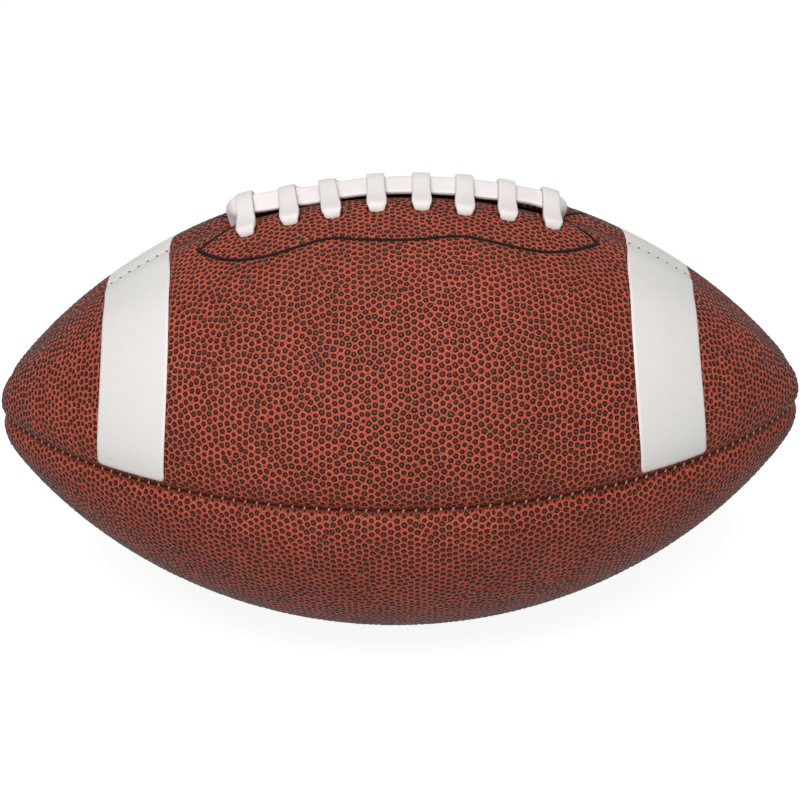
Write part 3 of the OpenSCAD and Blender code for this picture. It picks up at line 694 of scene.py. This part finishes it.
def innerFace(holes, rimAt, border):
    # the inner face: the same rim, filled with widely spaced points
    step = grain["innerPitch"]
    rows = []
    endHere = float(arcTable[radiusTable > grain["innerTip"]].max())
    for arc in np.arange(-endHere, endHere, step):
        r = radiusAtArc(arc)
        n = max(1, int(r * np.pi / 2 / step))
        rows.append(np.stack([np.full(n, stretchAtArc(arc)), (np.arange(n) + 0.5) / n * np.pi / 2], 1))
    grid = np.concatenate(rows)
    grid = grid[~insideCuts(grid, holes, grain["innerGap"])]
    points = np.concatenate([rimAt, grid])
    found = delaunay_2d_cdt([Vector(p) for p in points.tolist()], border.tolist(), [], 0, 1e-9)
    origin = np.array([o[0] for o in found[3]])
    tri = origin[np.array(found[2])]
    middle = points[tri].mean(1)
    # keep a triangle when a ray from its middle crosses the rim an odd number of times
    p, q = rimAt[border[:, 0]], rimAt[border[:, 1]]
    y = middle[:, 1:2]
    spans = (p[None, :, 1] > y) != (q[None, :, 1] > y)
    run = np.where(q[:, 1] == p[:, 1], 1, q[:, 1] - p[:, 1])
    at = p[None, :, 0] + (y - p[None, :, 1]) * ((q[:, 0] - p[:, 0]) / run)[None]
    odd = (spans & (at > middle[:, :1])).sum(1) % 2 == 1
    tri = tri[odd]
    u, v = points[tri[:, 1]] - points[tri[:, 0]], points[tri[:, 2]] - points[tri[:, 0]]
    turn = crossOf(u, v)
    tri = np.where(turn[:, None] > 0, tri, tri[:, ::-1])
    return points, tri[np.abs(turn) > 1e-12]


def lacingCuts(arcs, reach, endTurn):
    # a row of holes, each a little nearer to the slit than the lace's turn, and the two end holes
    row = [(arc, (s - lacing["holeShift"]) / radiusAtArc(arc), lacing["holeRadius"])
           for arc, s in zip(arcs, reach)]
    return row + [(side * endArc, endTurn, lacing["endHoleRadius"]) for side in (-1, 1)]


endTurn = lacing["endHoleShift"] / radiusAtArc(endArc)
frontCuts = lacingCuts(crossArc + lacing["lowShift"], lacing["frontHoles"], endTurn)
backCuts = lacingCuts(crossArc + lacing["topShift"], [lacing["backHole"]] * lacing["count"], -endTurn)
valveAt = [(0.0, np.pi / 2 - valveHole["angle"], valveHole["radius"])]
makePanel("laced_panel_front", "front_top_panel", np.pi / 2, 1, 11, frontCuts)
makePanel("laced_panel_back", "back_top_panel", np.pi / 2, -1, 12, backCuts + valveAt)
makePanel("lower_panel_front", "front_bottom_panel", np.pi, 1, 13, [])
makePanel("lower_panel_back", "back_bottom_panel", 1.5 * np.pi, 1, 14, [])


# Stripes: a thin sheet over the flat part of a laced panel, from the laced seam to near the side seam
def makeStripe(name, node, side, toFront):
    along, acrossCount = 57, 221
    U, V = np.meshgrid(np.linspace(-1, 1, along), np.linspace(0, 1, acrossCount) ** 1.25, indexing="ij")
    half, c, gap = (stripe["outer"] - stripe["inner"]) / 2, stripe["corner"], stripe["seamGap"]
    # rounded corners at the side seam: the end line falls back near the two edges
    fromEdge = half * (1 - np.abs(U))
    fallBack = np.where(fromEdge < c, c - np.sqrt(np.maximum(c * c - (c - fromEdge) ** 2, 0)), 0)
    theta = np.pi / 2 * V
    for _ in range(3):
        # the edges bow along the ball, so the arc and the turn settle together
        arc = stripe["inner"] + half * (U + 1) + stripeBow(theta, toFront)
        r = radiusAtArc(arc)
        last = np.pi / 2 * r - stripe["frontInset"] - fallBack
        across = gap + (last - gap) * V
        theta = across / r
    angle = np.pi / 2 + (theta if toFront else -theta)
    phi = phiAtArc(side * arc)
    turnDown = stripe["edgeTurn"] * np.exp(-(np.minimum(fromEdge, last - across) / stripe["edgeWidth"]) ** 2)
    ground = seamDepth(phi, angle)
    depths = (ground + stripe["top"] + turnDown, ground + stripe["low"])
    points = np.concatenate([surface(phi, angle, depth).reshape(-1, 3) for depth in depths])
    n = phi.size
    faces = gridFaces(*phi.shape)
    index = np.arange(n).reshape(phi.shape)
    loop = np.concatenate([index[0, :], index[1:, -1], index[-1, -2::-1], index[-2:0:-1, 0]])
    nextLoop = np.roll(loop, -1)
    wall = np.stack([loop, nextLoop, nextLoop + n, loop + n], 1)
    quads = np.concatenate([faces, faces[:, ::-1] + n, wall[:, ::-1]])
    if not facesOut(points, faces[:, :3]):
        quads = quads[:, ::-1]
    piece = makeMesh(name, points, quads, coating)
    seamShade = np.exp(-(across / stripe["shadeWidth"]) ** 2) * stripe["shade"]
    pointValues(piece, "seamShade", np.concatenate([seamShade.ravel(), np.full(n, stripe["lowShade"])]))
    piece.data.polygons.foreach_set("use_smooth", np.arange(len(quads)) < 2 * len(faces))
    dress(piece, node)


for toFront, half in ((True, "front"), (False, "back")):
    for side, hand in ((-1, "left"), (1, "right")):
        makeStripe("stripe_" + half + "_" + hand, half + "_" + hand + "_stripe", side, toFront)
print("stripes made")


# Lace: one flat strip. A place is (arc along the ball, distance from the slit, depth)
lace = {
    "thickness": 2.0 * mm, "extra": -0.2 * mm, "bend": 1.3 * mm, "endBend": 2.4 * mm, "under": 8.3 * mm,
    # widths in a hole, over the strip, added where it lies on the leather, and below the cover
    "holeWidth": 4.2 * mm, "crossWidth": 6.1 * mm, "flare": 0.7 * mm, "lowWidth": 6 * mm,
    "flareAt": 9 * mm, "flareFade": 0.8 * mm,
    # widths of the lengthwise strip, of its ends and where it turns into the left end hole
    "stripWidth": 7.2 * mm, "endNarrow": 0.6 * mm, "turnWidth": 6.4 * mm, "downWidth": 5.2 * mm,
    # a cross narrows to a round end over this length, from this far before its hole
    "taperFrom": 1.8 * mm, "taper": 1.9 * mm, "clear": 0.15 * mm,
    # depth of the top of each cross over the strip's back edge, and how far it falls to either side
    "crossTop": np.array([-6.45, -4.9, -4.65, -4.95, -5.0, -5.35, -5.65, -5.95]) * mm,
    "peak": -1.8 * mm, "frontSpan": 14.8 * mm, "backSpan": 8 * mm, "step": 0.4 * mm, "smoothing": 6,
    # painted shade in an end hole and in a cross's hole, and the powers that round the section's edges
    "endHoleShade": 0.3, "crossHoleShade": 0.35, "holeShadeReach": 0.8 * mm, "section": (0.38, 0.45),
    # hidden start: past the end hole, from the slit, above the lowest run, width and lean
    "start": ((9, 0, 0, 6, 0), (4, 0, 0, 5.5, 0), (0.8, 0.75, 1.2, 5.4, 0), (0, 1.5, 3, 5.4, 20)),
}
# Lengthwise strip: place along the ball and depth of its middle in millimetres, and its lean in degrees
stripProfile = np.array([
    (-60, -4.8, 34), (-55, -3.8, 36), (-50.5, -2.4, 40), (-44.1, -1.5, 42), (-37, -1.1, 40),
    (-29.4, -0.3, 34), (-14.7, -0.9, 31), (0, -1.1, 30), (14.7, -1.2, 32), (22, -1.4, 32),
    (29.4, -1.3, 34), (44.1, -2, 26), (50.5, -2.1, 30), (56, -2.3, 34), (60, -2.6, 34)])


def lacePlaces():
    # rows of arc, distance from the slit, depth, width, painted hole shade, turned and lean
    bend, under, narrow, b = lace["bend"], lace["under"], lace["holeWidth"], lace["endBend"]
    profile = smoothLine(stripProfile, 200)
    rows = []

    def put(arc, s, d, width, paintedShade=0, turned=1, lean=0):
        rows.append((arc, s, d, width, paintedShade, turned, np.radians(lean)))

    def stripPlace(arc):
        x = float(outline(phiAtArc(np.array(arc)))[0]) / mm
        return np.interp(x, profile[:, 0], profile[:, 1]) * mm, np.interp(x, profile[:, 0], profile[:, 2])

    def endTurn(side, degrees):
        depth, lean = stripPlace(side * (endArc - b))
        for a in np.radians(np.linspace(*degrees, 9)):
            place = side * (endArc - b + b * np.cos(a))
            paintedShade = lace["endHoleShade"] * np.cos(a)
            put(place, shift, depth + b - b * np.sin(a), lace["turnWidth"], paintedShade, 0, lean)
        return depth + b, lean

    def holeTurn(arc, s, degrees):
        for a in np.radians(np.linspace(*degrees, 6)):
            put(arc, s + bend * np.cos(a), under - bend - bend * np.sin(a), narrow)

    def lowRun(arc, s, nextArc, nextS):
        for f in np.linspace(0.2, 0.8, 4):
            put(arc + (nextArc - arc) * f, s + (nextS - s) * f, under, lace["lowWidth"])

    # lengthwise strip: up through the right end hole, along the slit, down at the left end
    shift = lacing["endHoleShift"]
    for past, s, rise, width, lean in lace["start"]:
        put(endArc + past * mm, s * mm, under - rise * mm, width * mm, 0, 0, lean)
    endTurn(1, (0, 90))
    for arc in np.linspace(endArc - b - 0.5 * mm, -(endArc - b - 0.5 * mm), 150):
        depth, lean = stripPlace(arc)
        near = np.clip((abs(arc) - endArc + 12 * mm) / (9 * mm), 0, 1)
        width = lace["stripWidth"] - lace["endNarrow"] * near
        put(arc, shift * near * near * (3 - 2 * near), depth, width, 0, 0, lean)
    depth, lean = endTurn(-1, (90, 0))
    low = under - bend
    for f in np.linspace(0.2, 0.9, 5):
        put(-endArc, shift * (1 - f), depth + (low - depth) * f, lace["downWidth"], 0, f, lean * (1 - f))
    for a in np.radians(np.linspace(10, 90, 6)):
        put(-endArc, bend * (np.cos(a) - 1), low + bend * np.sin(a), narrow)
    back = lacing["backHole"]
    lowRun(-endArc, -bend, crossArc[0], bend - back)
    for i, arc in enumerate(crossArc):
        # up through the back hole, over the strip, down into the front hole, and on to the next one
        front, top, foot = lacing["frontHoles"][i], lacing["topShift"][i], lacing["lowShift"][i]
        line = crossLine(i, front, back)
        holeTurn(arc + top, bend - back, (270, 180))
        for s in np.linspace(-back, front, 85):
            slide = np.interp(s, [-2 * mm, front], [top, foot])
            put(arc + slide, s, *crossShape(s, line, front if s > 0 else back))
        holeTurn(arc + foot, front - bend, (0, -90))
        if i < lacing["count"] - 1:
            lowRun(arc, front - bend, crossArc[i + 1], bend - back)
    for past in (5 * mm, 9 * mm):
        put(crossArc[-1], lacing["frontHoles"][-1] - past, under, lace["lowWidth"])
    return np.array(rows)


def crossLine(i, front, back):
    # depth of the cross's middle: highest over the strip's back edge, then smoothly down to the leather
    s = np.linspace(-back - 4 * mm, front + 4 * mm, 160)
    lie = groove(s, "lacedSeam") - lace["thickness"] / 2 - lace["clear"]
    peak = lace["peak"]
    part = np.clip(np.abs(s - peak) / np.where(s > peak, lace["frontSpan"], lace["backSpan"]), 0, 1)
    share = 0.5 + 0.5 * np.cos(np.pi * part)
    return np.stack([s, lie + (lace["crossTop"][i] + lace["thickness"] / 2 - lie) * share], 1)


def crossShape(s, line, hole):
    # depth, width and painted hole shade: wider where it lies on the leather, narrow and bent down at its
    # hole
    a, bend = abs(s), lace["bend"]
    fall = np.clip(a - hole + bend, 0, bend)
    d = np.interp(s, line[:, 0], line[:, 1]) + bend - np.sqrt(bend ** 2 - fall ** 2)
    full = lace["crossWidth"] + lace["flare"] / (1 + np.exp(-(a - lace["flareAt"]) / lace["flareFade"]))
    # the end is round, as the strip folds together where it goes in
    taper = np.clip((a - hole + lace["taperFrom"]) / lace["taper"], 0, 1)
    width = lace["holeWidth"] + (full - lace["holeWidth"]) * np.sqrt(1 - taper ** 2)
    return d, width, lace["crossHoleShade"] * np.clip((a - hole) / lace["holeShadeReach"] + 1, 0, 1)


def makeLace():
    rows = lacePlaces()
    phi, angle = phiAtArc(rows[:, 0]), np.pi / 2 + rows[:, 1] / radiusAtArc(rows[:, 0])
    centre = surface(phi, angle, rows[:, 2])
    # the strip's width points to the back on the lengthwise run and along the ball on the crosses
    turn = np.pi / 2 * rows[:, 5:6]
    widthWay = np.cos(turn) * [0, 1, 0] - np.sin(turn) * surfaceWays(phi, angle)[0]
    # even steps along the lace, then a light smoothing
    distance = np.concatenate([[0], np.cumsum(np.linalg.norm(np.diff(centre, axis=0), axis=1))])
    t = np.linspace(0, distance[-1], int(distance[-1] / lace["step"]))
    columns = np.concatenate([centre, widthWay, rows[:, 3:]], 1).T
    table = np.stack([np.interp(t, distance, column) for column in columns], 1)
    for _ in range(lace["smoothing"]):
        table = np.concatenate([table[:1], (table[:-2] + 2 * table[1:-1] + table[2:]) / 4, table[-1:]])
    centre, widthWay, width, paintedShade, turned, lean = np.split(table, [3, 6, 7, 8, 9], 1)
    run = unit(np.gradient(centre, axis=0))
    lift = unit(np.cross(run, widthWay))
    # on the lengthwise run the front edge leans down
    widthWay = np.cos(lean) * np.cross(lift, run) - np.sin(lean) * lift
    lift = np.cross(run, widthWay)
    # section: a flat strip with rounded edges; the lengthwise run is pulled tight, so it is thinner
    a = np.radians(np.arange(0, 360, 18) + 9)
    px, py = [np.sign(v) * np.abs(v) ** power for v, power in zip((np.cos(a), np.sin(a)), lace["section"])]
    thickness = lace["thickness"] + lace["extra"] * (1 - turned)
    points = (centre[:, None] + (width / 2 * px)[..., None] * widthWay[:, None]
              + (thickness / 2 * py)[..., None] * lift[:, None])
    n, k = points.shape[:2]
    allPoints = np.concatenate([points.reshape(-1, 3), centre[:1], centre[-1:]])
    piece = makeMesh("lace_strip", allPoints, tubeFaces(n, k), vinyl)
    pointValues(piece, "paintedHoleShade", np.concatenate([np.repeat(paintedShade, k), [0, 0]]))
    dress(piece, "lace")


makeLace()
print("lace made")

# Stitches: a short bent bead of thread across each seam
stitch = {
    "pitch": 4.0 * mm, "slant": np.radians(22), "endShare": 0.955, "slitGap": 7.2 * mm, "arch": 0.35,
    # length, thickness and how far it stands out of the groove
    "seam": (1.6 * mm, 0.62 * mm, 0.1 * mm), "lacedSeam": (1 * mm, 0.85 * mm, 0.5 * mm),
}


def makeStitches(name, node, angle, fromArc, toArc, seam, material):
    # a bead: rings of five points along a shallow arch, closed by a point at each end
    length, thickness, raised = stitch[seam]
    count = int(np.floor((toArc - fromArc) / stitch["pitch"])) + 1
    arcs = (fromArc + toArc) / 2 + (np.arange(count) - (count - 1) / 2) * stitch["pitch"]
    t = np.linspace(-1, 1, 6)[:, None]
    a = np.arange(5) * 2 * np.pi / 5
    bulge = np.sqrt(np.maximum(1 - (t * 0.93) ** 6, 0)) * thickness / 2
    arch = -stitch["arch"] * thickness * t ** 2
    tip = length / 2 * 1.1
    bead = np.stack([t * length / 2 + 0 * a, np.cos(a) * bulge, np.sin(a) * bulge + arch], -1).reshape(-1, 3)
    bead = np.concatenate([bead, [[-tip, 0, arch[0, 0]], [tip, 0, arch[-1, 0]]]])
    phi, angles = phiAtArc(arcs), angle + 0 * arcs
    spot = surface(phi, angles, seamDepth(phi, angles) - raised)
    along, out = surfaceWays(phi, angles)
    way = np.cos(stitch["slant"]) * np.cross(out, along) + np.sin(stitch["slant"]) * along
    points = spot[:, None] + bead @ np.stack([way, np.cross(out, way), out], 1)
    faces = [[v + len(bead) * i for v in face] for i in range(count) for face in tubeFaces(6, 5)]
    piece = makeMesh(name, points.reshape(-1, 3), faces, material)
    dress(piece, node)


rowEnd, slitEnd = halfArc * stitch["endShare"], endArc + stitch["slitGap"]
for name, angle in (("front", np.pi), ("back", 0.0), ("bottom", 1.5 * np.pi)):
    makeStitches("stitches_" + name, name + "_seam_thread", angle, -rowEnd, rowEnd, "seam", thread)
# the laced seam's stitches are painted near-black as the shadow in their stitch holes
for name, fromArc, toArc in (("left", -rowEnd, -slitEnd), ("right", slitEnd, rowEnd)):
    makeStitches("stitches_laced_" + name, name + "_laced_seam_thread", np.pi / 2, fromArc, toArc,
                 "lacedSeam", holeShadowThread)
print("stitches made")

# Inner pieces keep their solids and get their own finish
innerLooks = {
    cotton: ("front_top_lining", "back_top_lining", "front_bottom_lining", "back_bottom_lining"),
    splitLeather: ("front_lace_facing", "back_lace_facing", "slit_tongue"),
    butyl: ("bladder",), valveRubber: ("valve_body", "valve_slug"),
}
for material, nodes in innerLooks.items():
    for node in nodes:
        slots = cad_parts[node].data.materials
        slots.clear()
        slots.append(material)
print("inner pieces finished")

# Camera: at the angle and distance from which the ball was seen
camera = {
    "distance": 489.06 * mm, "elevation": 0.4696692, "roll": 0.0150507, "yaw": 0.0051747,
    "centreX": 400.53, "centreY": 397.55, "pixelsPerMetre": 2732.028, "picture": 800, "sensor": 36,
}


def placeCamera():
    e, yaw, roll = camera["elevation"], camera["yaw"], camera["roll"]
    back = Vector((-np.sin(yaw) * np.cos(e), -np.cos(yaw) * np.cos(e), np.sin(e)))
    right = Vector((np.cos(yaw), -np.sin(yaw), 0))
    up = back.cross(right)
    turnedRight = right * np.cos(roll) - up * np.sin(roll)
    turnedUp = right * np.sin(roll) + up * np.cos(roll)
    data = bpy.data.cameras.new("camera")
    picture, data.sensor_width = camera["picture"], camera["sensor"]
    data.lens = data.sensor_width * camera["pixelsPerMetre"] * camera["distance"] / picture
    data.shift_x = (picture / 2 - camera["centreX"]) / picture
    data.shift_y = (camera["centreY"] - picture / 2) / picture
    data.clip_start = 10 * mm
    obj = bpy.data.objects.new("camera", data)
    turn = Matrix((turnedRight, turnedUp, back)).transposed().to_4x4()
    turn.translation = Vector((0, 0, restHeight)) + back * camera["distance"]
    obj.matrix_world = turn
    bpy.context.scene.collection.objects.link(obj)
    bpy.context.scene.camera = obj


placeCamera()


# Stage: a white floor and surround, with soft light from the front and above
stage = {
    "floor": 1.5, "below": 0.2 * mm, "world": 0.17, "floorColour": 0.3, "floorRoughness": 0.9, "glow": 0.88,
    # name, place, size and power of each lamp
    "lamps": (("topSoftbox", (-0.07, -0.62, 1.1), 0.8, 10.2), ("lowSoftbox", (-0.14, -1.28, 0.33), 0.4, 5.4)),
}


def white(tree, kind, strength):
    return addNode(tree, kind, {}, {"Color": (1, 1, 1, 1), "Strength": strength}).outputs[0]


def seenWhite(tree, output, lit, seen):
    # seen by the camera and by rays that a clear or shiny thing sends on; lit is for light on the object
    ways = addNode(tree, "ShaderNodeLightPath").outputs
    share = maths(tree, "MAXIMUM", ways["Is Camera Ray"], ways["Is Transmission Ray"])
    share = maths(tree, "MAXIMUM", share, ways["Is Glossy Ray"])
    mixed = addNode(tree, "ShaderNodeMixShader", {}, {0: share, 1: lit, 2: seen})
    addNode(tree, output, {}, {"Surface": mixed.outputs[0]})


def makeStage():
    # a white surround, and a floor that shows white but for the object's shadow
    size, below = stage["floor"], -stage["below"]
    points = [(-size, -size, below), (size, -size, below), (size, size, below), (-size, size, below)]
    material, tree = newMaterial("whitePaperFloor")
    paper = addNode(tree, "ShaderNodeBsdfPrincipled", {}, {"Base Color": [stage["floorColour"]] * 3 + [1],
                                                           "Roughness": stage["floorRoughness"]}).outputs[0]
    glow = white(tree, "ShaderNodeEmission", stage["glow"])
    seenWhite(tree, "ShaderNodeOutputMaterial", paper,
              addNode(tree, "ShaderNodeAddShader", {}, {0: paper, 1: glow}).outputs[0])
    makeMesh("floor", points, [(0, 1, 2, 3)], material, smooth=False)
    world = bpy.data.worlds.new("whiteSurround")
    world.use_nodes = True
    tree = world.node_tree
    tree.nodes.clear()
    lit, seen = [white(tree, "ShaderNodeBackground", strength) for strength in (stage["world"], 1.0)]
    seenWhite(tree, "ShaderNodeOutputWorld", lit, seen)
    bpy.context.scene.world = world


def addLamp(name, place, size, power):
    data = bpy.data.lights.new(name, "AREA")
    data.shape = "DISK"
    data.size = size
    data.energy = power
    lamp = bpy.data.objects.new(name, data)
    lamp.location = place
    aim = Vector((0, 0, restHeight)) - Vector(place)
    lamp.rotation_euler = aim.to_track_quat("-Z", "Y").to_euler()
    bpy.context.scene.collection.objects.link(lamp)


makeStage()
for lamp in stage["lamps"]:
    addLamp(*lamp)
bpy.context.scene.view_settings.view_transform = "Standard"
print("stage made")
